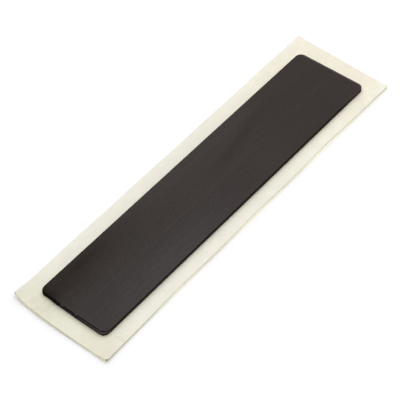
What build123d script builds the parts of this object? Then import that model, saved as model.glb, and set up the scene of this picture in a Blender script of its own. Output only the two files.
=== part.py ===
from build123d import *
from math import cos, degrees, hypot, pi, radians, sin
import os

os.makedirs("parts", exist_ok=True)

# Self-adhesive door plate lying face up on its paper release liner.
# X runs along the plate, Y across it and Z up.  The near end is -X, the far end +X,
# the left long side +Y and the right long side -Y.  The origin is the centre of the
# liner's flat underside, on the surface that the liner lies on.

# Face plate: one rigid plastic plate
plate_length = 305.0
plate_width = 63.5
plate_thickness = 3.2
plate_corner_radius = 6.0
plate_back_edge_radius = 0.3

# Bevel round the face: wide across the ends, a narrow break of the edge along the sides.
# The crown is the share of the bevel's fall that its curve makes; the rest is straight.
end_bevel = 1.3
side_bevel = 0.2
bevel_drop = 0.55
bevel_crown = 0.3

# A fillet takes up at most this share of the wall that it is cut into
fillet_wall_share = 0.4

# Double-coated tape over the whole back of the plate
tape_setback = 1.0
adhesive_thickness = 0.08
carrier_thickness = 0.24

# Release liner: a paper sheet cut larger than the plate by a margin on each side, flat under it
liner_thickness = 0.2
near_margin = 15.2
far_margin = 16.8
left_margin = 14.25
right_margin = 14.95
flat_border = 2.5

# How far the hand-cut outline departs from a true rectangle
near_crest_offset = 1.0
near_left_setback = 3.5
near_left_trim = 1.7
near_left_trim_run = 45.0
near_right_setback = 0.8
far_edge_skew = 3.9
right_edge_bow = 2.3
far_right_trim = 1.6

# How high the free margins curl off the surface at the middle of each side
left_edge_lift = 0.7
far_edge_lift = 0.7
right_edge_lift = 1.2
near_edge_lift = 1.7

# How high the liner's corners curl off the surface
near_left_lift = 3.2
far_left_lift = 1.2
far_right_lift = 1.2
near_right_lift = 2.2

# Sections that a curled corner is lofted through, and the furthest that the rim turns up
corner_sections = 5
rim_turn_limit = 80.0

# Heights of the layers, from the surface up
tape_bottom = liner_thickness
carrier_bottom = tape_bottom + adhesive_thickness
upper_coat_bottom = carrier_bottom + carrier_thickness
plate_back = upper_coat_bottom + adhesive_thickness
plate_face = plate_back + plate_thickness
wall_height = plate_thickness - bevel_drop

# The liner's full size, and where its margins put the plate
liner_length = near_margin + plate_length + far_margin
liner_width = left_margin + plate_width + right_margin
plate_x = (near_margin - far_margin) / 2
plate_y = (right_margin - left_margin) / 2

# The tape's footprint and the flat zone of the liner follow the plate
tape_length = plate_length - 2 * tape_setback
tape_width = plate_width - 2 * tape_setback
tape_corner_radius = plate_corner_radius - tape_setback
flat_length = plate_length + 2 * flat_border
flat_width = plate_width + 2 * flat_border
flat_radius = plate_corner_radius + flat_border

# The curled rim is made longer than the widest corner, then cut to the outline
widest_end = max(near_margin, far_margin)
widest_side = max(left_margin, right_margin)
rim_reach = hypot(widest_end, widest_side) + flat_border


def layer_outline(bottom, length, width, radius):
    """Rounded rectangle at the height bottom, centred on the plate."""
    with BuildSketch(Plane.XY.offset(bottom)) as outline:
        with Locations((plate_x, plate_y)):
            RectangleRounded(length, width, radius)
    return outline.sketch


def tape_outline(bottom):
    """Outline of one of the tape's three layers."""
    return layer_outline(bottom, tape_length, tape_width, tape_corner_radius)


def bevel_outline(share):
    """Outline of the plate at a share of the way down the bevel, from the face at 0."""
    drop = bevel_drop * share * (1 - bevel_crown + bevel_crown * share)
    end_inset = end_bevel * (1 - share)
    side_inset = side_bevel * (1 - share)
    length = plate_length - 2 * end_inset
    width = plate_width - 2 * side_inset
    return layer_outline(plate_face - drop, length, width, plate_corner_radius - side_inset)


def curvature(lift, run):
    """Curvature of the arc that leaves the surface level and has risen by lift after run."""
    return 2 * lift / (run**2 + lift**2)


def corner_run(end_margin, side_margin):
    """Length of the curl from the flat zone's rounded corner out to a corner of the liner."""
    diagonal = hypot(end_margin + plate_corner_radius, side_margin + plate_corner_radius)
    return diagonal - flat_radius


def curl_section(centre, angle, bend):
    """Section of the curled rim, looking outward at angle from a corner centre of the flat zone."""
    outward = Vector(cos(radians(angle)), sin(radians(angle)), 0)
    start = Vector(*centre) + outward * flat_radius
    frame = Plane(origin=start, x_dir=outward, z_dir=outward.cross(Vector(0, 0, 1)))
    sweep_angle = min(degrees(rim_reach * bend), rim_turn_limit)
    with BuildSketch(frame) as section:
        with BuildLine():
            under = JernArc((0, 0), (1, 0), 1 / bend, sweep_angle)
            upper = JernArc((0, liner_thickness), (1, 0), 1 / bend - liner_thickness, sweep_angle)
            Line(under @ 0, upper @ 0)
            Line(under @ 1, upper @ 1)
        make_face()
    return section.sketch


# Centres of the flat zone's rounded corners, where each side starts
centre_x = plate_length / 2 - plate_corner_radius
centre_y = plate_width / 2 - plate_corner_radius
corner_centres = [
    (plate_x - centre_x, plate_y + centre_y),
    (plate_x + centre_x, plate_y + centre_y),
    (plate_x + centre_x, plate_y - centre_y),
    (plate_x - centre_x, plate_y - centre_y),
]

# Bend of the rim along each side, clockwise from the left long side
side_bends = [
    curvature(left_edge_lift, left_margin - flat_border),
    curvature(far_edge_lift, far_margin - flat_border),
    curvature(right_edge_lift, right_margin - flat_border),
    curvature(near_edge_lift, near_margin - flat_border),
]

# Bend of the rim at the corner that follows each side, up to the corner as it is cut
near_left_run = corner_run(near_margin - near_left_setback, left_margin - near_left_trim)
near_right_run = corner_run(near_margin - near_right_setback, right_margin)
far_right_run = corner_run(far_margin - far_edge_skew, right_margin - far_right_trim)
corner_bends = [
    curvature(far_left_lift, corner_run(far_margin, left_margin)),
    curvature(far_right_lift, far_right_run),
    curvature(near_right_lift, near_right_run),
    curvature(near_left_lift, near_left_run),
]


def corner_curl(corner, angle):
    """Sections round one corner, whose bend swells smoothly from one side to the next."""
    bend = side_bends[corner]
    next_bend = side_bends[(corner + 1) % 4]
    centre = corner_centres[(corner + 1) % 4]
    sections = []
    for step in range(corner_sections):
        turn = step / (corner_sections - 1)
        swell = (corner_bends[corner] - (bend + next_bend) / 2) * sin(pi * turn) ** 2
        section_bend = bend + (next_bend - bend) * turn + swell
        sections.append(curl_section(centre, angle - 90 * turn, section_bend))
    return sections


# Corners of the cut outline
near_left = (near_left_setback - liner_length / 2, liner_width / 2 - near_left_trim)
near_crest = (-liner_length / 2, -near_crest_offset)
near_right = (near_right_setback - liner_length / 2, -liner_width / 2)
right_middle = (0, right_edge_bow - liner_width / 2)
far_right = (liner_length / 2 - far_edge_skew, far_right_trim - liner_width / 2)
far_left = (liner_length / 2, liner_width / 2)
trim_start = (near_left[0] + near_left_trim_run, liner_width / 2)

# The liner: its flat zone, the curled rim round it side by side, and the cut to the outline
with BuildPart() as release_liner:
    extrude(layer_outline(0, flat_length, flat_width, flat_radius), amount=liner_thickness)
    for side, angle in enumerate((90, 0, -90, -180)):
        run = 2 * centre_x if side % 2 == 0 else 2 * centre_y
        extrude(curl_section(corner_centres[side], angle, side_bends[side]), amount=run)
        loft(corner_curl(side, angle))
    with BuildSketch():
        with BuildLine():
            Line(far_left, trim_start)
            TangentArc(trim_start, near_left, tangent=(-1, 0))
            TangentArc(near_crest, near_left, tangent=(0, 1))
            TangentArc(near_crest, near_right, tangent=(0, -1))
            ThreePointArc(near_right, right_middle, far_right)
            Line(far_right, far_left)
        make_face()
    extrude(amount=rim_reach, both=True, mode=Mode.INTERSECT)

with BuildPart() as lower_adhesive:
    extrude(tape_outline(tape_bottom), amount=adhesive_thickness)

with BuildPart() as tape_carrier:
    extrude(tape_outline(carrier_bottom), amount=carrier_thickness)

with BuildPart() as upper_adhesive:
    extrude(tape_outline(upper_coat_bottom), amount=adhesive_thickness)

with BuildPart() as face_plate:
    plate_outline = layer_outline(plate_back, plate_length, plate_width, plate_corner_radius)
    extrude(plate_outline, amount=wall_height)
    loft([bevel_outline(1), bevel_outline(0.5), bevel_outline(0)])
    back = face_plate.faces().filter_by(Axis.Z).sort_by(Axis.Z)[0]
    fillet(back.edges(), radius=min(plate_back_edge_radius, fillet_wall_share * wall_height))

nodes = {
    "release_liner": release_liner,
    "lower_adhesive": lower_adhesive,
    "tape_carrier": tape_carrier,
    "upper_adhesive": upper_adhesive,
    "face_plate": face_plate,
}
for name, node in nodes.items():
    node.part.label = name
    export_step(node.part, f"parts/{name}.step")
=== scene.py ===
from math import atan2, copysign, cos, hypot, pi, radians, sin

import bmesh
import bpy
from mathutils import Matrix, Vector, noise


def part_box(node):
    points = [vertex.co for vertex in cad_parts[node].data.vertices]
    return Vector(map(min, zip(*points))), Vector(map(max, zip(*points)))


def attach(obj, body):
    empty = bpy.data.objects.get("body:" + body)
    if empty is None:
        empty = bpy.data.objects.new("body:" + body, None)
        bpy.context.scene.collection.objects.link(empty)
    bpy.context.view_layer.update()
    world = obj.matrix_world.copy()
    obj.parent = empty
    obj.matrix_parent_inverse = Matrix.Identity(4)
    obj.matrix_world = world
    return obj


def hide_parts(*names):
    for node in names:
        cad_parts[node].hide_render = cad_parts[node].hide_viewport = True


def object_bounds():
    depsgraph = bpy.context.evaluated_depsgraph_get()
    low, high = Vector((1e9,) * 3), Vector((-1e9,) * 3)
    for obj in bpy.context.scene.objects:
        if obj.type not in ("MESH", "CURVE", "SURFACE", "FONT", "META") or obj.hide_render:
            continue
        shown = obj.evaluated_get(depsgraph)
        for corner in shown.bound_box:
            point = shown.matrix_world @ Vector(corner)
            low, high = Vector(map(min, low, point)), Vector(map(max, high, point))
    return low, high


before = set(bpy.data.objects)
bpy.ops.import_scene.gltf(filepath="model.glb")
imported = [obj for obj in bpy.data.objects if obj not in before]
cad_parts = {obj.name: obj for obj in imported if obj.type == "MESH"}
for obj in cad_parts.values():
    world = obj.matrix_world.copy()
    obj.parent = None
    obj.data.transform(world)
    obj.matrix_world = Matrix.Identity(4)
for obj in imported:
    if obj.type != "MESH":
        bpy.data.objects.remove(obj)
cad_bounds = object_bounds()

# A self-adhesive plate on its paper release liner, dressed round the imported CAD.
# X runs from the near end to the far end, Y from the right side to the left and Z up.
# Lengths are in millimetres.  Places are measured from the plate's centre, heights from the
# surface that the liner lies on, and colours are linear.
MM = 0.001

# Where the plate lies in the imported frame
plate_low, plate_high = (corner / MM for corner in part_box("face_plate"))
PLATE_X = (plate_low.x + plate_high.x) / 2
PLATE_Y = (plate_low.y + plate_high.y) / 2
PLATE_BACK = plate_low.z
PLATE_TOP = plate_high.z
PLATE_HALF_LENGTH = (plate_high.x - plate_low.x) / 2
PLATE_HALF_WIDTH = (plate_high.y - plate_low.y) / 2

# View of the plate: the camera looks along the heading and down by the elevation, at a place
# on the plate's face
VIEW_HEADING = radians(43.015)
VIEW_ELEVATION = radians(49.046)
VIEW_ROLL = radians(-4.226)
VIEW_DISTANCE = 1195.45
VIEW_AIM = (-16.76, -5.03)
VIEW_LENS = 145.17
VIEW_SENSOR = 36.0
VIEW_CLIP = (10.0, 20000.0)

# Studio light: a white, even sky and soft lobes, each with its heading, elevation, strength and
# the cosine of the angle from its axis at which it begins
WHITE = (1.0, 1.0, 1.0)
SKY_BASE = 0.53
SKY_LOBES = (
    (24, 42, 0.80, 0.3),
    (0, 90, 0.53, 0.5),
)

# The floor: how far it reaches, how far it lies below the liner, its colour, and a faint glow
# that only the camera sees
FLOOR_REACH = 6000.0
FLOOR_GAP = 0.02
FLOOR_COLOUR = (0.93, 0.93, 0.945)
FLOOR_GLOW = (0.03, 0.03, 0.03)

# Painted shadow and light on the floor: a warm tint in its colour and a glow, painted beyond the
# liner's near and right edges, stand in for the warm light that the paper lets through, which tints
# and softens its shadow there.  The tint begins at each edge, sharply, and the near one sweeps back
# towards its left end.
SHADE_NEAR = -166.4
SHADE_NEAR_SWEEP = 0.0027
SHADE_SWEEP_START = 10.0
SHADE_RIGHT = -43.55
SHADE_ONSET = 0.01

# How far the painted tint reaches beyond each edge, where it ends along them, and the share of the
# reach that the painted glow takes
SHADE_NEAR_REACH = 2.7
SHADE_RIGHT_REACH = 5.1
SHADE_FAR_END = 162.0
SHADE_LEFT_END = 43.0
SHADE_END_REACH = 4.0
SHADE_COLOUR = (0.883, 0.871, 0.741)
LEAK_SHARE = 0.4
LEAK_COLOUR = (0.340, 0.322, 0.235)

# Shape of the plate: the bevel is wide across the ends and narrow along the sides.  The crown
# is the share of its fall that its curve makes; the rest is straight.
PLATE_CORNER = 5.1
END_BEVEL = 1.3
SIDE_BEVEL = 0.2
BEVEL_DROP = 0.55
BEVEL_CROWN = 0.3
BACK_EDGE = 0.3

# The face dips a little, and has slow and fine waves of these depths
FACE_DIP = 0.03
FACE_SLOW_WAVE = 0.022
FACE_FINE_WAVE = 0.008

# The near end is cut back in steps towards its left side, each given by where it starts and ends
# across the plate and by its depth at the outer edge and at the face.  The cuts set in between
# these two distances from the end.
CUT_BACKS = ((-6.5, 10.0, 0.36, 0.0), (11.0, 18.0, 0.0, 0.5), (15.0, 23.0, 0.48, 0.0))
CUT_BACK_FADE = (12.0, 6.0)

# The face runs on over the near bevel in places, given by their place across and half width.
# It takes up this share of the bevel's width there.
NICKS = ((9.6, 1.3), (-3.7, 1.0), (-26.6, 0.7))
NICK_REACH = 0.9
NICK_SQUARENESS = 4

# Mesh of the plate: steps round each corner, along, across, down the bevel and round the back's
# edge, and how many of the bevel's steps the dark line takes up
CORNER_STEPS = 6
LENGTH_STEPS = 146
WIDTH_STEPS = 78
BEVEL_STEPS = 5
LINE_STEPS = 3
BACK_STEPS = 3
SHARP_ANGLE = radians(50)

# Material slots of the plate, whose face has slot 0
LINE_SLOT = 1
RIM_SLOT = 2
WALL_SLOT = 3

# The liner is a sheet that lies flat under the plate and for a border round it.  The flat zone
# is a rounded rectangle, which the core and the radius describe.
LINER_THICKNESS = 0.2
FLAT_BORDER = 2.5
FLAT_CORE_X = PLATE_HALF_LENGTH - PLATE_CORNER
FLAT_CORE_Y = PLATE_HALF_WIDTH - PLATE_CORNER
FLAT_RADIUS = PLATE_CORNER + FLAT_BORDER

# Corners of the liner, and its length and width
NEAR_LEFT = Vector((-164.0, 44.3))
FAR_LEFT = Vector((169.0, 45.9))
FAR_RIGHT = Vector((165.4, -45.1))
NEAR_RIGHT = Vector((-166.9, -46.7))
SHEET_CORNERS = {
    ("near", "left"): NEAR_LEFT,
    ("far", "left"): FAR_LEFT,
    ("far", "right"): FAR_RIGHT,
    ("near", "right"): NEAR_RIGHT,
}
SHEET_LENGTH = (FAR_LEFT - NEAR_LEFT).length
SHEET_WIDTH = (FAR_LEFT - FAR_RIGHT).length

# Each side is cut with a bow, given towards its start and its end, and a slow wave; both fade
# out at the corners, the more suddenly the squarer the cut is, and the lean shifts their middle
RIGHT_CUT = dict(bow=(-1.75, -1.2), lean=1.0, square=5, wave=0.3, waves=3.75, phase=-0.11)
FAR_CUT = dict(bow=(0.1, 0.0), lean=1.0, square=4, wave=0.05, waves=2.0, phase=0.0)
LEFT_CUT = dict(bow=(-0.02, 1.18), lean=1.0, square=36, wave=0.17, waves=4.6, phase=0.59)
NEAR_CUT = dict(bow=(2.65, 1.3), lean=0.82, square=2, wave=0.0, waves=1.0, phase=0.0)

# How high the liner's free margins curl at the middle of each side, how wide they are, and how
# high its corners curl
SIDE_LIFTS = {"left": 0.7, "far": 0.7, "right": 1.7, "near": 1.7}
SIDE_MARGINS = {"left": 14.25, "far": 16.8, "right": 14.95, "near": 15.2}
CORNER_LIFTS = {
    ("near", "left"): 3.2,
    ("far", "left"): 1.2,
    ("far", "right"): 1.2,
    ("near", "right"): 2.2,
}

# The curl rises by this power of the distance, and the near side curls higher by a share at its
# left end and lower at its right
CURL_POWER = 1.45
NEAR_TILT = 0.25

# Slow waves in the free margins: their height, the distance over which they set in, and the
# share of a finer wave among them
MARGIN_WAVE = 0.14
MARGIN_WAVE_ONSET = 8.0
MARGIN_FINE_SHARE = 0.6

# Mesh of the liner: even steps along and across, and two fine steps in from each edge
SHEET_LENGTH_STEPS = 170
SHEET_WIDTH_STEPS = 46
FINE_STEPS = (0.35, 1.0)

# Specks of dirt on the liner, each with its place, reach and strength
LINER_SPECKS = (
    (-166.9, -46.9, 2.2, 1.0),
    (-164.1, 44.4, 1.4, 0.9),
    (-123.0, -46.0, 0.9, 0.6),
    (-50.0, -39.5, 0.8, 0.2),
    (-101.0, 44.5, 0.8, 0.15),
    (166.8, 14.0, 0.8, 0.2),
)

# Colours of the plate's face, with the two that its fine grain varies between and the dark line
# at its corner.  The near one is darker, partly painted shade.
FACE_MIDDLE = (0.0252, 0.0164, 0.0127)
FACE_NEAR = (0.0169, 0.0116, 0.0084)
FACE_FAR = (0.0252, 0.0136, 0.0119)
FACE_COOL = (0.0256, 0.0184, 0.0183)
FACE_PINKER = (0.0285, 0.0150, 0.0160)
FACE_GREENER = (0.0215, 0.0180, 0.0125)
FACE_LINE = (0.0060, 0.0050, 0.0050)
DARKEST = (0.0006, 0.0005, 0.0004)

# Colours of the bevel's dark line and rim, and of the plate's wall.  The far line and rim colours
# are painted highlight, the rim's reflection and turned colours painted reflection, and the wall's
# dark one painted shade.
LINE_DARK = (0.0030, 0.0024, 0.0022)
LINE_FAR = (0.1120, 0.0960, 0.0980)
RIM_DARK = (0.0060, 0.0046, 0.0042)
RIM_REFLECTION = (0.0630, 0.0565, 0.0575)
RIM_TURNED = (0.1050, 0.0920, 0.1000)
RIM_CHIPPED = (0.0950, 0.0870, 0.0900)
RIM_FAR = (0.0600, 0.0510, 0.0520)
WALL_END = (0.0105, 0.0075, 0.0060)
WALL_SIDE = (0.0260, 0.0168, 0.0125)
WALL_DARK = (0.0062, 0.0050, 0.0042)
WALL_BROWNER = (0.0360, 0.0250, 0.0170)

# Colours of the liner, of its dirt specks and the painted shade along its cuts, and the painted
# light that lifts its colour by the plate
PAPER_NEAR = (0.768, 0.752, 0.622)
PAPER_MIDDLE = (0.792, 0.774, 0.682)
PAPER_FAR = (0.884, 0.832, 0.692)
PAPER_OLIVE = (0.700, 0.684, 0.553)
PAPER_PINKER = (0.797, 0.758, 0.627)
PAPER_FAR_CORNERS = (0.905, 0.857, 0.735)
PAPER_BEIGE = (0.825, 0.770, 0.655)
PAPER_LIFT = (1.065, 1.055, 1.035)
SPECK_COLOUR = (0.16, 0.12, 0.07)
EDGE_SHADE = (0.36, 0.34, 0.22)

# Colours of the tape's layers
ADHESIVE_CLEAR = (0.60, 0.54, 0.38)
ADHESIVE_AIR = (0.68, 0.64, 0.50)
FILM_DARK = (0.66, 0.65, 0.62)
FILM_PALE = (0.76, 0.75, 0.72)

# Nearly all of a grain's values lie between these two
GRAIN_LOW = 0.3
GRAIN_HIGH = 0.7


# ---------------------------------------------------------------- node graphs

class Graph:
    """A node graph, with a short call for each kind of node that this file uses."""

    def __init__(self, tree):
        self.tree = tree
        self.nodes = tree.nodes

    def put(self, socket, value):
        """Link a socket, or set it where the value is a constant."""
        if isinstance(value, bpy.types.NodeSocket):
            self.tree.links.new(value, socket)
        elif isinstance(value, tuple) and len(value) == 3 and socket.type == "RGBA":
            socket.default_value = (*value, 1)
        else:
            socket.default_value = value

    def math(self, operation, first, second=0.0):
        """Result of a maths node."""
        node = self.nodes.new("ShaderNodeMath")
        node.operation = operation
        self.put(node.inputs[0], first)
        self.put(node.inputs[1], second)
        return node.outputs[0]

    def times(self, first, second):
        """Product of two values."""
        return self.math("MULTIPLY", first, second)

    def weigh(self, base, *parts):
        """A base value with others added to it, each times its weight."""
        total = base
        for value, weight in parts:
            total = self.math("ADD", total, self.times(value, weight))
        return total

    def excess(self, value, limit):
        """How far a value lies above a limit, or 0 where it lies below."""
        return self.math("MAXIMUM", self.math("SUBTRACT", value, limit), 0.0)

    def vector(self, operation, first, second):
        """Result of a vector maths node: a number for a distance or a dot product."""
        node = self.nodes.new("ShaderNodeVectorMath")
        node.operation = operation
        self.put(node.inputs[0], first)
        self.put(node.inputs[1], second)
        return node.outputs["Value" if operation in ("DISTANCE", "DOT_PRODUCT") else "Vector"]

    def scale(self, vector, share):
        """A vector or a colour times a share."""
        node = self.nodes.new("ShaderNodeVectorMath")
        node.operation = "SCALE"
        self.put(node.inputs[0], vector)
        self.put(node.inputs["Scale"], share)
        return node.outputs["Vector"]

    def ramp(self, value, start, end, low=0.0, high=1.0):
        """Smooth change from low to high while the value goes from start to end."""
        node = self.nodes.new("ShaderNodeMapRange")
        node.interpolation_type = "SMOOTHSTEP"
        self.put(node.inputs["Value"], value)
        self.put(node.inputs["From Min"], start)
        self.put(node.inputs["From Max"], end)
        self.put(node.inputs["To Min"], low)
        self.put(node.inputs["To Max"], high)
        return node.outputs["Result"]

    def hump(self, value, middle, reach):
        """One at the middle, falling to nothing at the reach on either side."""
        away = self.math("ABSOLUTE", self.math("SUBTRACT", value, middle))
        return self.ramp(away, reach, 0.0)

    def mix(self, share, first, second):
        """A share of the second colour in the first."""
        node = self.nodes.new("ShaderNodeMix")
        node.data_type = "RGBA"
        colours = [socket for socket in node.inputs if socket.type == "RGBA"]
        self.put(node.inputs["Factor"], share)
        self.put(colours[0], first)
        self.put(colours[1], second)
        return next(socket for socket in node.outputs if socket.type == "RGBA")

    def layer(self, colour, *layers):
        """A colour with others laid over it in turn, each given after its share."""
        for share, over in layers:
            colour = self.mix(share, colour, over)
        return colour


class Look(Graph):
    """A material's graph.  Its place, x and y are those of the point that it colours."""

    def __init__(self, name, ior=1.45):
        self.material = bpy.data.materials.new(name)
        self.material.use_nodes = True
        super().__init__(self.material.node_tree)
        self.shader = self.nodes["Principled BSDF"]
        self.shader.inputs["IOR"].default_value = ior
        coordinates = self.nodes.new("ShaderNodeTexCoord")
        centre = (PLATE_X * MM, PLATE_Y * MM, 0.0)
        from_centre = self.vector("SUBTRACT", coordinates.outputs["Object"], centre)
        self.place = self.scale(from_centre, 1 / MM)
        split = self.nodes.new("ShaderNodeSeparateXYZ")
        self.put(split.inputs[0], self.place)
        self.x = split.outputs["X"]
        self.y = split.outputs["Y"]

    def grain(self, size, stretch=(1, 1, 1), detail=3.0, seed=0.0):
        """Noise between 0 and 1 whose grain has a size, stretched by axis."""
        lay = self.nodes.new("ShaderNodeMapping")
        self.put(lay.inputs["Vector"], self.place)
        self.put(lay.inputs["Location"], (seed, 2 * seed, 3 * seed))
        self.put(lay.inputs["Scale"], tuple(1 / (size * share) for share in stretch))
        node = self.nodes.new("ShaderNodeTexNoise")
        self.put(node.inputs["Vector"], lay.outputs["Vector"])
        self.put(node.inputs["Scale"], 1.0)
        self.put(node.inputs["Detail"], detail)
        return node.outputs["Fac"]

    def spread(self, grain, low, high):
        """Change from low to high over the range that a grain's values take."""
        return self.ramp(grain, GRAIN_LOW, GRAIN_HIGH, low, high)

    def centred(self, grain):
        """A grain's values moved to lie round 0."""
        return self.math("SUBTRACT", grain, 0.5)

    def distance_to(self, x, y):
        """Distance in plan from a place."""
        plan = self.vector("MULTIPLY", self.place, (1.0, 1.0, 0.0))
        return self.vector("DISTANCE", plan, (x, y, 0.0))

    def lighten(self, colour, amount):
        """Colour with the same amount added to each channel, never below the darkest."""
        return self.vector("MAXIMUM", self.vector("ADD", colour, amount), DARKEST)

    def bump(self, height, depth):
        """Bump from a height between 0 and 1, as deep as the depth."""
        node = self.nodes.new("ShaderNodeBump")
        self.put(node.inputs["Distance"], depth * MM)
        self.put(node.inputs["Height"], height)
        self.put(self.shader.inputs["Normal"], node.outputs["Normal"])

    def finish(self, colour, roughness, specular=0.5):
        """Set the shader and give back the material."""
        self.put(self.shader.inputs["Base Color"], colour)
        self.put(self.shader.inputs["Roughness"], roughness)
        self.shader.inputs["Specular IOR Level"].default_value = specular
        return self.material


# ---------------------------------------------------------------- camera and studio

def add_object(name, data):
    """Object of the data, put in the scene."""
    thing = bpy.data.objects.new(name, data)
    bpy.context.scene.collection.objects.link(thing)
    return thing


def towards(heading, elevation):
    """Unit vector of a heading from +X towards +Y and an elevation above the table."""
    return Vector((cos(elevation) * cos(heading), cos(elevation) * sin(heading), sin(elevation)))


def add_camera():
    """Camera at the photograph's viewing angle, aimed near the middle of the plate's face."""
    data = bpy.data.cameras.new("view")
    data.lens = VIEW_LENS
    data.sensor_width = VIEW_SENSOR
    data.clip_start = VIEW_CLIP[0] * MM
    data.clip_end = VIEW_CLIP[1] * MM
    camera = add_object("view", data)
    forward = towards(VIEW_HEADING, -VIEW_ELEVATION)
    level = forward.cross(Vector((0, 0, 1))).normalized()
    right = level * cos(VIEW_ROLL) + level.cross(forward) * sin(VIEW_ROLL)
    turn = Matrix((right, right.cross(forward), -forward)).transposed()
    aim = Vector((PLATE_X + VIEW_AIM[0], PLATE_Y + VIEW_AIM[1], PLATE_TOP))
    camera.matrix_world = Matrix.Translation((aim - forward * VIEW_DISTANCE) * MM) @ turn.to_4x4()
    bpy.context.scene.camera = camera


def add_sky():
    """Soft sky in a few lobes, seen by the camera as plain white."""
    world = bpy.data.worlds.new("studio")
    bpy.context.scene.world = world
    world.use_nodes = True
    sky = Graph(world.node_tree)
    sky.nodes.clear()
    direction = sky.nodes.new("ShaderNodeTexCoord").outputs["Generated"]
    strength = SKY_BASE
    for heading, elevation, peak, start in SKY_LOBES:
        axis = towards(radians(heading), radians(elevation))
        cosine = sky.vector("DOT_PRODUCT", direction, axis)
        strength = sky.math("ADD", sky.ramp(cosine, start, 1.0, high=peak), strength)
    path = sky.nodes.new("ShaderNodeLightPath")
    light = sky.nodes.new("ShaderNodeBackground")
    backdrop = sky.nodes.new("ShaderNodeBackground")
    seen = sky.nodes.new("ShaderNodeMixShader")
    out = sky.nodes.new("ShaderNodeOutputWorld")
    sky.put(light.inputs["Color"], WHITE)
    sky.put(light.inputs["Strength"], strength)
    sky.put(backdrop.inputs["Color"], WHITE)
    sky.put(seen.inputs[0], path.outputs["Is Camera Ray"])
    sky.put(seen.inputs[1], light.outputs[0])
    sky.put(seen.inputs[2], backdrop.outputs[0])
    sky.put(out.inputs["Surface"], seen.outputs[0])


def floor_material():
    """Pale matt floor, white to the camera where no shadow falls, with painted shadow tint and glow
    by the liner.
    """
    look = Look("floor")
    sweep = look.math("POWER", look.excess(look.y, SHADE_SWEEP_START), 2.0)
    near_edge = look.weigh(SHADE_NEAR, (sweep, SHADE_NEAR_SWEEP))
    beyond_near = look.excess(near_edge, look.x)
    beyond_right = look.excess(SHADE_RIGHT, look.y)
    outside = look.ramp(look.math("ADD", beyond_near, beyond_right), 0.0, SHADE_ONSET)
    total = 0.0
    for gap, reach in (
        (beyond_near, SHADE_NEAR_REACH),
        (beyond_right, SHADE_RIGHT_REACH),
        (look.excess(look.x, SHADE_FAR_END), SHADE_END_REACH),
        (look.excess(look.y, SHADE_LEFT_END), SHADE_END_REACH),
    ):
        share = look.math("DIVIDE", gap, reach)
        total = look.math("ADD", total, look.times(share, share))
    away = look.math("SQRT", total)
    painted_shadow_tint = look.times(look.ramp(away, 1.0, 0.0), outside)
    painted_glow = look.times(look.ramp(away, LEAK_SHARE, 0.0), outside)

    # Matt, with a glow for the camera alone that is painted warm beyond the liner's near and right
    # edges, in place of the shader that a look starts with
    path = look.nodes.new("ShaderNodeLightPath")
    diffuse = look.nodes.new("ShaderNodeBsdfDiffuse")
    glow = look.nodes.new("ShaderNodeEmission")
    both = look.nodes.new("ShaderNodeAddShader")
    look.put(diffuse.inputs["Color"], look.mix(painted_shadow_tint, FLOOR_COLOUR, SHADE_COLOUR))
    look.put(glow.inputs["Color"], look.mix(painted_glow, FLOOR_GLOW, LEAK_COLOUR))
    look.put(glow.inputs["Strength"], path.outputs["Is Camera Ray"])
    look.put(both.inputs[0], diffuse.outputs[0])
    look.put(both.inputs[1], glow.outputs[0])
    look.put(look.nodes["Material Output"].inputs["Surface"], both.outputs[0])
    look.nodes.remove(look.shader)
    return look.material


def add_floor():
    """Wide floor just below the liner."""
    reach = FLOOR_REACH * MM
    mesh = bpy.data.meshes.new("floor")
    corners = [(-reach, -reach, 0), (reach, -reach, 0), (reach, reach, 0), (-reach, reach, 0)]
    mesh.from_pydata(corners, [], [(0, 1, 2, 3)])
    mesh.materials.append(floor_material())
    floor = add_object("floor", mesh)
    floor.location.z = cad_bounds[0][2] - FLOOR_GAP * MM


# ---------------------------------------------------------------- mesh helpers

def grid_lines(half, radius, steps):
    """Grid lines from -half to half, even over each corner, with the steps over the rest."""
    core = half - radius
    corner = [radius * step / CORNER_STEPS for step in range(1, CORNER_STEPS + 1)]
    straight = [core * (2 * step / steps - 1) for step in range(steps + 1)]
    start = [-core - reach for reach in reversed(corner)]
    end = [core + reach for reach in corner]
    return start + straight + end


def round_corner(x, y, half_x, half_y, radius):
    """Place of a rectangle's point once the rectangle's corners are rounded."""
    over_x = (abs(x) - half_x + radius) / radius
    over_y = (abs(y) - half_y + radius) / radius
    if over_x <= 0 or over_y <= 0:
        return x, y
    reach = radius * max(over_x, over_y)
    lean = pi / 4 * min(over_x, over_y) / max(over_x, over_y)
    angle = lean if over_x >= over_y else pi / 2 - lean
    return (
        copysign(half_x - radius + reach * cos(angle), x),
        copysign(half_y - radius + reach * sin(angle), y),
    )


def rounded_grid(half_x, half_y, radius):
    """Grid of places that fills a rounded rectangle."""
    columns = grid_lines(half_x, radius, LENGTH_STEPS)
    rows = grid_lines(half_y, radius, WIDTH_STEPS)
    return [[round_corner(x, y, half_x, half_y, radius) for y in rows] for x in columns]


def rim_of(grid):
    """The grid's outer items, once round."""
    near_row = [column[0] for column in grid[:-1]]
    far_row = [column[-1] for column in grid[:0:-1]]
    return near_row + grid[-1][:-1] + far_row + grid[0][:0:-1]


def at_plate(x, y, z):
    """Point in the frame, in metres, from a place measured from the plate's centre."""
    return Vector((PLATE_X + x, PLATE_Y + y, z)) * MM


def add_grid(bm, grid, height):
    """Vertices and faces over a grid of places; gives back the grid of vertices."""
    verts = [[bm.verts.new(at_plate(x, y, height(x, y))) for x, y in column] for column in grid]
    for near, far in zip(verts, verts[1:]):
        for k in range(len(near) - 1):
            bm.faces.new((near[k], far[k], far[k + 1], near[k + 1]))
    return verts


def join_rims(bm, upper, lower, slot=0):
    """Faces between two rims that have the same number of vertices."""
    for k in range(len(upper)):
        face = bm.faces.new((upper[k - 1], lower[k - 1], lower[k], upper[k]))
        face.material_index = slot


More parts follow.
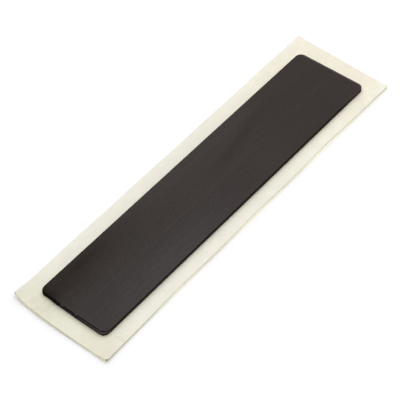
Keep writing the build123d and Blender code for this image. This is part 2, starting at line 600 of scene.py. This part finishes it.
def add_piece(name, bm, materials):
    """Object from a mesh, shaded smooth but for its sharp edges and where materials meet."""
    bmesh.ops.recalc_face_normals(bm, faces=bm.faces)
    for edge in bm.edges:
        meeting = {face.material_index for face in edge.link_faces}
        if len(meeting) > 1 or edge.calc_face_angle(0) > SHARP_ANGLE:
            edge.smooth = False
    for face in bm.faces:
        face.smooth = True
    mesh = bpy.data.meshes.new(name)
    bm.to_mesh(mesh)
    bm.free()
    for material in materials:
        mesh.materials.append(material)
    return add_object(name, mesh)


def smooth(value, start, end):
    """Smooth change from 0 to 1 while the value goes from start to end."""
    share = min(max((value - start) / (end - start), 0.0), 1.0)
    return share * share * (3 - 2 * share)


def waves(x, y, frequency, seed):
    """Smooth noise round 0 over the plan, at a frequency along and across."""
    return noise.noise(Vector((x * frequency[0], y * frequency[1], seed)))


# ---------------------------------------------------------------- face plate

def face_relief(x, y):
    """Slight unevenness of the plate's face, never above the flat face."""
    slow = waves(x, y, frequency=(0.012, 0.03), seed=0.7)
    fine = waves(x, y, frequency=(0.03, 0.12), seed=4.2)
    return -FACE_DIP - FACE_SLOW_WAVE * slow - FACE_FINE_WAVE * fine


def cut_back(x, y, bevel):
    """How far the near end is cut back, at a share of the bevel's width from its outer edge."""
    start, full = CUT_BACK_FADE
    near = smooth(-x, PLATE_HALF_LENGTH - start, PLATE_HALF_LENGTH - full)
    depths = [
        (outer * (1 - bevel) + face * bevel) * smooth(y, start, end)
        for start, end, outer, face in CUT_BACKS
    ]
    return near * sum(depths)


def nick(x, y):
    """Share of the near bevel that is missing where the face runs on over it."""
    if x > 0:
        return 0.0
    shares = [1.0 - ((y - place) / width) ** NICK_SQUARENESS for place, width in NICKS]
    return max(0.0, *shares)


def plate_rings():
    """Rings from the face down to the back: inset along the bevel, inset of the back, height."""
    rings = []
    for step in range(BEVEL_STEPS + 1):
        share = step / BEVEL_STEPS
        fall = share * (1 - BEVEL_CROWN + BEVEL_CROWN * share)
        rings.append((1 - share, 0.0, PLATE_TOP - BEVEL_DROP * fall))
    for step in range(BACK_STEPS + 1):
        turn = pi / 2 * step / BACK_STEPS
        rings.append((0.0, BACK_EDGE * (1 - cos(turn)), PLATE_BACK + BACK_EDGE * (1 - sin(turn))))
    return rings


def plate_grid(bevel, inset):
    """Places of one ring and all inside it, at a share of the bevel's width from its edge."""
    side_inset = SIDE_BEVEL * bevel + inset
    half_length = PLATE_HALF_LENGTH - END_BEVEL * bevel - inset
    half_width = PLATE_HALF_WIDTH - side_inset
    grid = rounded_grid(half_length, half_width, PLATE_CORNER - side_inset)
    grid = [[(x + cut_back(x, y, bevel), y) for x, y in column] for column in grid]
    grid[0] = [(x - NICK_REACH * END_BEVEL * bevel * nick(x, y), y) for x, y in grid[0]]
    return grid


def strip_slot(index):
    """Material of a strip between two rings, counted from the face outwards and down."""
    if index < LINE_STEPS:
        return LINE_SLOT
    return RIM_SLOT if index < BEVEL_STEPS else WALL_SLOT


def build_plate(face_look, line_look, rim_look, wall_look):
    """The plate: a grid over its face, rings down its bevel and wall, and a grid over its back."""
    bm = bmesh.new()
    rings = plate_rings()
    rims = []
    for index, (bevel, inset, height) in enumerate(rings):
        grid = plate_grid(bevel, inset)
        if index == 0:
            rims.append(rim_of(add_grid(bm, grid, lambda x, y: height + face_relief(x, y))))
        elif index == len(rings) - 1:
            rims.append(rim_of(add_grid(bm, grid, lambda x, y: height)))
        else:
            rims.append([
                bm.verts.new(at_plate(x, y, height + bevel * face_relief(x, y)))
                for x, y in rim_of(grid)
            ])
    for index, (upper, lower) in enumerate(zip(rims, rims[1:])):
        join_rims(bm, upper, lower, strip_slot(index))
    return add_piece("plate_moulding", bm, (face_look, line_look, rim_look, wall_look))


# ---------------------------------------------------------------- release liner

def cut_edge(start, end, cut, share):
    """Place on a cut edge that runs from start to end with the sheet on its left."""
    run = end - start
    outward = Vector((run.y, -run.x)).normalized()
    middle = 2 * share ** cut["lean"] - 1
    bow = cut["bow"][0] * (1 - share) + cut["bow"][1] * share
    wave = cut["wave"] * sin(2 * pi * (cut["waves"] * share + cut["phase"]))
    return start + run * share + outward * (bow + wave) * (1 - abs(middle) ** cut["square"])


def sheet_place(u, v):
    """Place on the sheet, blended from its cut edges, at shares u to the far and v to the left."""
    right = cut_edge(NEAR_RIGHT, FAR_RIGHT, RIGHT_CUT, u)
    far = cut_edge(FAR_RIGHT, FAR_LEFT, FAR_CUT, v)
    left = cut_edge(FAR_LEFT, NEAR_LEFT, LEFT_CUT, 1 - u)
    near = cut_edge(NEAR_LEFT, NEAR_RIGHT, NEAR_CUT, 1 - v)
    place = right * (1 - v) + left * v + near * (1 - u) + far * u
    place -= (NEAR_RIGHT * (1 - v) + NEAR_LEFT * v) * (1 - u)
    place -= (FAR_RIGHT * (1 - v) + FAR_LEFT * v) * u
    return place


def past_flat(x, y):
    """How far a place lies beyond the straight parts of the flat zone's sides."""
    return max(abs(x) - FLAT_CORE_X, 0.0), max(abs(y) - FLAT_CORE_Y, 0.0)


def steepness(lift, run):
    """Steepness of the curl that leaves the table level and has risen by lift after run."""
    return lift / run**CURL_POWER


SIDE_CURLS = {
    side: steepness(lift, SIDE_MARGINS[side] - FLAT_BORDER) for side, lift in SIDE_LIFTS.items()
}
CORNER_CURLS = {
    corner: steepness(lift, hypot(*past_flat(*SHEET_CORNERS[corner])) - FLAT_RADIUS)
    for corner, lift in CORNER_LIFTS.items()
}


def curl(x, y):
    """Height of the sheet's underside above the table: flat under the plate, curled outside."""
    out_x, out_y = past_flat(x, y)
    run = hypot(out_x, out_y) - FLAT_RADIUS
    if run <= 0:
        return 0.0
    end_name = "far" if x > 0 else "near"
    side_name = "left" if y > 0 else "right"
    side = SIDE_CURLS[side_name]
    end = SIDE_CURLS[end_name]
    corner = CORNER_CURLS[end_name, side_name]
    if x < 0:
        end *= 1 + NEAR_TILT * min(max(y / FLAT_CORE_Y, -1.0), 1.0)
    turn = atan2(out_y, out_x) / (pi / 2)
    swell = (corner - (side + end) / 2) * sin(pi * turn) ** 2
    return (end + (side - end) * turn + swell) * run**CURL_POWER


def margin_relief(x, y):
    """Slow waves in the free margins."""
    out = max(abs(x) - PLATE_HALF_LENGTH, abs(y) - PLATE_HALF_WIDTH, 0.0)
    slow = waves(x, y, frequency=(0.035, 0.05), seed=9.1)
    fine = waves(x, y, frequency=(0.09, 0.1), seed=2.5)
    return MARGIN_WAVE * min(out / MARGIN_WAVE_ONSET, 1.0) * (slow + MARGIN_FINE_SHARE * fine)


def sheet_height(x, y):
    """Height of the sheet's underside, never below the table."""
    return max(curl(x, y) + margin_relief(x, y), 0.0)


def edge_shares(steps, length):
    """Shares along a side in even steps, with the fine steps at each end."""
    fine = [step / length for step in FINE_STEPS]
    even = [step / steps for step in range(1, steps)]
    return [0.0] + fine + even + [1 - share for share in reversed(fine)] + [1.0]


def build_liner(look):
    """The liner: a curled sheet that carries the distance from its near and right cuts."""
    along = edge_shares(SHEET_LENGTH_STEPS, SHEET_LENGTH)
    across = edge_shares(SHEET_WIDTH_STEPS, SHEET_WIDTH)
    grid = [[sheet_place(u, v) for v in across] for u in along]
    bm = bmesh.new()
    cut_distance = bm.verts.layers.float.new("cut_distance")
    upper = add_grid(bm, grid, lambda x, y: sheet_height(x, y) + LINER_THICKNESS)
    lower = add_grid(bm, grid, sheet_height)
    join_rims(bm, rim_of(upper), rim_of(lower))
    for sheet in (upper, lower):
        for u, column in zip(along, sheet):
            for v, vert in zip(across, column):
                vert[cut_distance] = min(u * SHEET_LENGTH, v * SHEET_WIDTH)
    return add_piece("liner_sheet", bm, (look,))


# ---------------------------------------------------------------- looks

def plate_face_look():
    """Satin dark brown plastic with a painted sheen, redder towards the far end, with faint streaks
    along its length.
    """
    look = Look("plate_plastic")
    streaks = look.grain(3.2, stretch=(40, 1, 1), detail=4.0, seed=3.0)
    cloud = look.grain(22.0, stretch=(2, 1, 1), detail=2.0, seed=5.0)
    fine = look.grain(0.8, stretch=(1.4, 1, 1), detail=3.0, seed=8.0)
    pinker = look.grain(2.2, stretch=(1.3, 1, 1), detail=4.0, seed=11.0)
    greener = look.grain(2.2, stretch=(1.3, 1, 1), detail=4.0, seed=13.0)

    # Cooler at the near end's right and redder at the far end; darker at its left, partly painted
    # shade where the sheen dims
    near = look.ramp(look.x, 0.0, -160.0)
    far = look.ramp(look.x, 30.0, 200.0)
    cool = look.times(look.ramp(look.x, 65.0, -25.0), look.ramp(look.y, 22.0, -25.0))
    colour = look.layer(
        FACE_MIDDLE,
        (near, FACE_NEAR),
        (far, FACE_FAR),
        (cool, FACE_COOL),
        (look.ramp(pinker, 0.4, 0.7, high=0.6), FACE_PINKER),
        (look.ramp(greener, 0.4, 0.7, high=0.6), FACE_GREENER),
    )
    # Painted shade: the near end's left corner is darker, and its painted sheen thinner
    corner = look.times(look.ramp(look.x, -142.0, -151.0), look.ramp(look.y, 6.0, 24.0))
    shade = look.times(look.spread(fine, 0.85, 1.15), look.spread(cloud, 0.95, 1.05))
    shade = look.times(shade, look.ramp(corner, 0.0, 1.0, low=1.0, high=0.75))
    colour = look.scale(colour, shade)

    # Painted sheen: a pale sheen painted into the face's colour stands in for its reflection.  It
    # is fuller in two soft bands and towards the near end's right, and thinner at the near end's
    # left and towards the far end.
    dulled = look.times(look.ramp(look.x, -40.0, -119.0), look.ramp(look.y, 0.0, 24.0))
    band_left = look.times(look.hump(look.x, 26.0, 151.0), look.ramp(look.y, 6.0, 37.0))
    band_right = look.times(look.hump(look.x, -78.0, 91.0), look.ramp(look.y, -2.0, -30.0))
    fuller = look.times(look.ramp(look.x, 0.0, -50.0), look.ramp(look.y, 10.0, -5.0))
    thinner = look.ramp(look.x, 50.0, 95.0)

    # The painted sheen is weaker along a dull streak that slants across the left half and in a
    # patch by the near end's left corner
    streak_line = look.ramp(look.x, -20.0, 110.0, low=2.0, high=18.0)
    off_streak = look.math("SUBTRACT", look.y, streak_line)
    streak = look.times(look.hump(off_streak, 0.0, 7.5), look.hump(look.x, 52.0, 62.0))
    weaker_patch = look.times(look.hump(look.y, 24.5, 5.0), look.hump(look.x, -113.0, 30.0))
    painted_sheen = look.weigh(
        0.0138,
        (dulled, -0.0113),
        (band_left, 0.0080),
        (band_right, 0.0108),
        (fuller, 0.0019),
        (thinner, -0.0035),
        (streak, -0.0067),
        (weaker_patch, -0.0054),
        (corner, -0.0071),
    )
    painted_sheen = look.times(painted_sheen, look.spread(streaks, 0.935, 1.065))
    painted_sheen = look.times(painted_sheen, look.spread(fine, 0.88, 1.12))

    # A faint lengthwise seam adds a lighter line, and a painted highlight lies along the far bevel
    seam = look.hump(look.y, -3.4, 0.9)
    face_end = PLATE_HALF_LENGTH - END_BEVEL
    lightened = look.ramp(look.x, face_end - 0.9, face_end - 0.4)
    painted_sheen = look.weigh(painted_sheen, (seam, 0.0039), (lightened, 0.018))
    colour = look.lighten(colour, painted_sheen)

    # The bevel's dark line is wider round the near end's right corner
    at_corner = look.times(look.ramp(look.x, -145.8, -147.8), look.ramp(look.y, -26.6, -28.2))
    round_corner_line = look.ramp(look.distance_to(-146.3, -26.65), 4.2, 4.6)
    line = look.times(round_corner_line, at_corner)
    colour = look.mix(line, colour, FACE_LINE)

    look.bump(look.weigh(fine, (streaks, 0.6)), depth=0.004)
    return look.finish(colour, look.weigh(0.27, (fine, 0.10)), specular=0.08)


def plate_line_look():
    """Inner part of the bevel: dark, with a painted highlight that makes it paler at the far end.
    """
    look = Look("plate_bevel_line")
    marks = look.grain(0.35, stretch=(6, 6, 1), seed=2.0)
    # Painted highlight: paler towards the far end
    far = look.ramp(look.x, 120.0, 145.0)
    colour = look.mix(far, LINE_DARK, LINE_FAR)
    colour = look.scale(colour, look.weigh(0.85, (marks, 0.3)))
    look.bump(marks, depth=0.012)
    return look.finish(colour, look.spread(marks, 0.5, 0.65), specular=0.015)


def plate_rim_look():
    """Outer part of the bevel: a painted reflection lightens it across the ends but not at the near
    end's left.
    """
    look = Look("plate_bevel")
    marks = look.grain(0.5, stretch=(3, 3, 1), seed=6.0)
    # Painted reflection: lighter across the ends, more towards the far end and round the near end's
    # right corner, with a painted highlight at the far end, and a lighter chip
    off_x = look.math("ABSOLUTE", look.x)
    along_end = look.ramp(off_x, PLATE_HALF_LENGTH - 7.0, PLATE_HALF_LENGTH - 4.0)
    to_right = look.ramp(look.y, 18.0, -22.0)
    to_far = look.ramp(look.x, -120.0, 0.0, high=0.6)
    lightened = look.times(look.math("MAXIMUM", to_right, to_far), along_end)
    turned = look.times(look.ramp(look.y, -24.0, -29.0), along_end)
    chip = look.times(look.hump(look.y, 10.0, 1.3), along_end)
    colour = look.layer(
        RIM_DARK,
        (lightened, RIM_REFLECTION),
        (turned, RIM_TURNED),
        (chip, RIM_CHIPPED),
        (look.ramp(look.x, 120.0, 145.0), RIM_FAR),
    )
    colour = look.scale(colour, look.weigh(0.8, (marks, 0.4)))
    look.bump(marks, depth=0.01)
    return look.finish(colour, look.spread(marks, 0.4, 0.55), specular=0.03)


def plate_wall_look():
    """Sawn and dressed edge of the plate: dark brown and matt, with fine upright tool marks."""
    look = Look("plate_cut_edge")
    marks = look.grain(0.35, stretch=(1, 1, 6), seed=2.0)
    off_y = look.math("ABSOLUTE", look.y)
    side = look.ramp(off_y, PLATE_HALF_WIDTH - 3.5, PLATE_HALF_WIDTH - 1.0)
    # Painted shade: darker at the near end's left.  Browner towards the near end's right.
    dark = look.times(look.ramp(look.y, 5.0, 14.0), look.ramp(look.x, -140.0, -150.0))
    lightened = look.times(look.ramp(look.y, -10.0, -27.0), look.ramp(look.x, -142.0, -148.0))
    colour = look.layer(WALL_END, (side, WALL_SIDE), (dark, WALL_DARK), (lightened, WALL_BROWNER))
    colour = look.scale(colour, look.weigh(0.85, (marks, 0.3)))
    look.bump(marks, depth=0.012)
    return look.finish(colour, look.spread(marks, 0.5, 0.65), specular=0.03)


def liner_look():
    """Cream siliconised paper: warmer and paler to the far end, mottled, with painted shade along
    its near and right cuts.
    """
    look = Look("liner_paper")
    mottle = look.grain(7.0, stretch=(1.4, 1, 1), detail=4.0, seed=4.0)
    fibre = look.grain(0.6, stretch=(2.2, 1, 1), detail=4.0, seed=9.0)
    cloud = look.grain(30.0, detail=2.0, seed=1.0)
    beige = look.grain(4.0, stretch=(1.4, 1, 1), seed=12.0)
    off_x = look.math("ABSOLUTE", look.x)
    off_y = look.math("ABSOLUTE", look.y)

    # Its colour changes along it, and towards its near margin and its far corners
    olive = look.times(look.hump(look.y, 22.0, 26.0), look.ramp(look.x, -145.0, -158.0))
    pinker = look.times(look.ramp(look.x, -140.0, -156.0), look.ramp(look.y, -8.0, -34.0))
    far_corners = look.times(look.ramp(look.x, 138.0, 160.0), look.ramp(off_y, 33.0, 43.0))
    colour = look.layer(
        PAPER_NEAR,
        (look.ramp(look.x, -160.0, -115.0), PAPER_MIDDLE),
        (look.ramp(look.x, 5.0, 168.0), PAPER_FAR),
        (olive, PAPER_OLIVE),
        (pinker, PAPER_PINKER),
        (far_corners, PAPER_FAR_CORNERS),
        (look.ramp(beige, 0.45, 0.7, high=0.5), PAPER_BEIGE),
    )

    # It is lighter along the free margins and just outside the plate's near and right edges,
    # painted light that narrows the plate's shadow on it, darker towards the near corners, and
    # darker in a crease, painted shade of the fold
    middle = look.times(look.ramp(look.x, -160.0, -120.0), look.ramp(look.x, 145.0, 90.0))
    beside = look.times(look.ramp(off_y, 34.0, 45.0), middle)
    right = look.times(look.hump(look.y, -37.5, 6.0), middle)
    front = look.times(look.hump(look.x, -157.5, 5.0), look.hump(look.y, -4.0, 38.0))
    corners = look.math("ADD", look.ramp(look.y, -12.0, -42.0), look.ramp(look.y, 32.0, 42.0))
    near_corner_darkening = look.times(corners, look.ramp(look.x, -146.0, -162.0))
    crease = look.times(look.hump(look.x, -146.5, 1.3), look.ramp(look.y, -35.0, -38.0))
    shade = look.weigh(
        0.985,
        (look.centred(mottle), 0.13),
        (look.centred(fibre), 0.13),
        (look.centred(cloud), 0.05),
        (beside, 0.05),
        (right, 0.045),
        (front, 0.045),
        (near_corner_darkening, -0.065),
        (crease, -0.08),
    )
    colour = look.scale(colour, shade)

    # Painted light: near the plate the paper is lifted and warmed, standing in for light that
    # spreads inside it into the plate's shadow
    past_end = look.math("SUBTRACT", off_x, PLATE_HALF_LENGTH)
    past_side = look.math("SUBTRACT", off_y, PLATE_HALF_WIDTH)
    lifted = look.ramp(look.math("MAXIMUM", past_end, past_side), 6.0, 0.5)
    colour = look.mix(lifted, colour, look.vector("MULTIPLY", colour, PAPER_LIFT))

    # Specks of dirt, and painted shade along the near and right cuts, for the gap under the lifted
    # edge, growing towards the near end and the left
    for x, y, reach, strength in LINER_SPECKS:
        speck = look.times(look.ramp(look.distance_to(x, y), reach, reach / 2), strength)
        colour = look.mix(speck, colour, SPECK_COLOUR)
    distance = look.nodes.new("ShaderNodeAttribute")
    distance.attribute_name = "cut_distance"
    rim = look.ramp(distance.outputs["Fac"], 0.55, 0.1)
    to_near = look.ramp(look.x, -150.0, -162.0, low=0.35, high=0.8)
    to_left = look.ramp(look.y, -30.0, 15.0, low=0.5)
    edge_shade = look.times(rim, look.times(to_near, to_left))
    colour = look.mix(edge_shade, colour, EDGE_SHADE)

    look.bump(look.math("ADD", fibre, mottle), depth=0.02)
    return look.finish(colour, look.spread(fibre, 0.5, 0.65), specular=0.3)


def adhesive_look():
    """Clear tacky acrylic over a pale carrier: yellowish, glossy, with trapped air marks."""
    look = Look("adhesive", ior=1.47)
    air = look.grain(3.0, detail=5.0, seed=7.0)
    skin = look.grain(0.8, detail=2.0, seed=2.0)
    marks = look.ramp(air, 0.58, 0.68)
    colour = look.mix(marks, ADHESIVE_CLEAR, ADHESIVE_AIR)
    look.bump(look.math("ADD", skin, marks), depth=0.01)
    return look.finish(colour, look.spread(air, 0.16, 0.34))


def carrier_look():
    """Matt polyester film, milky, with faint lengthwise drawing lines."""
    look = Look("carrier_film", ior=1.5)
    lines = look.grain(1.2, stretch=(60, 1, 1), seed=5.0)
    colour = look.mix(lines, FILM_DARK, FILM_PALE)
    look.bump(lines, depth=0.006)
    return look.finish(colour, look.spread(lines, 0.38, 0.5))


# ---------------------------------------------------------------- the dressed part

bpy.context.scene.view_settings.view_transform = "Standard"
add_camera()
add_sky()
add_floor()

plate = build_plate(plate_face_look(), plate_line_look(), plate_rim_look(), plate_wall_look())
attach(plate, "plate")
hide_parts("face_plate")

liner = build_liner(liner_look())
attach(liner, "liner")
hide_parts("release_liner")

tacky = adhesive_look()
node_looks = {"upper_adhesive": tacky, "tape_carrier": carrier_look(), "lower_adhesive": tacky}
for node, look in node_looks.items():
    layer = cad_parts[node]
    layer.data.materials.clear()
    layer.data.materials.append(look)
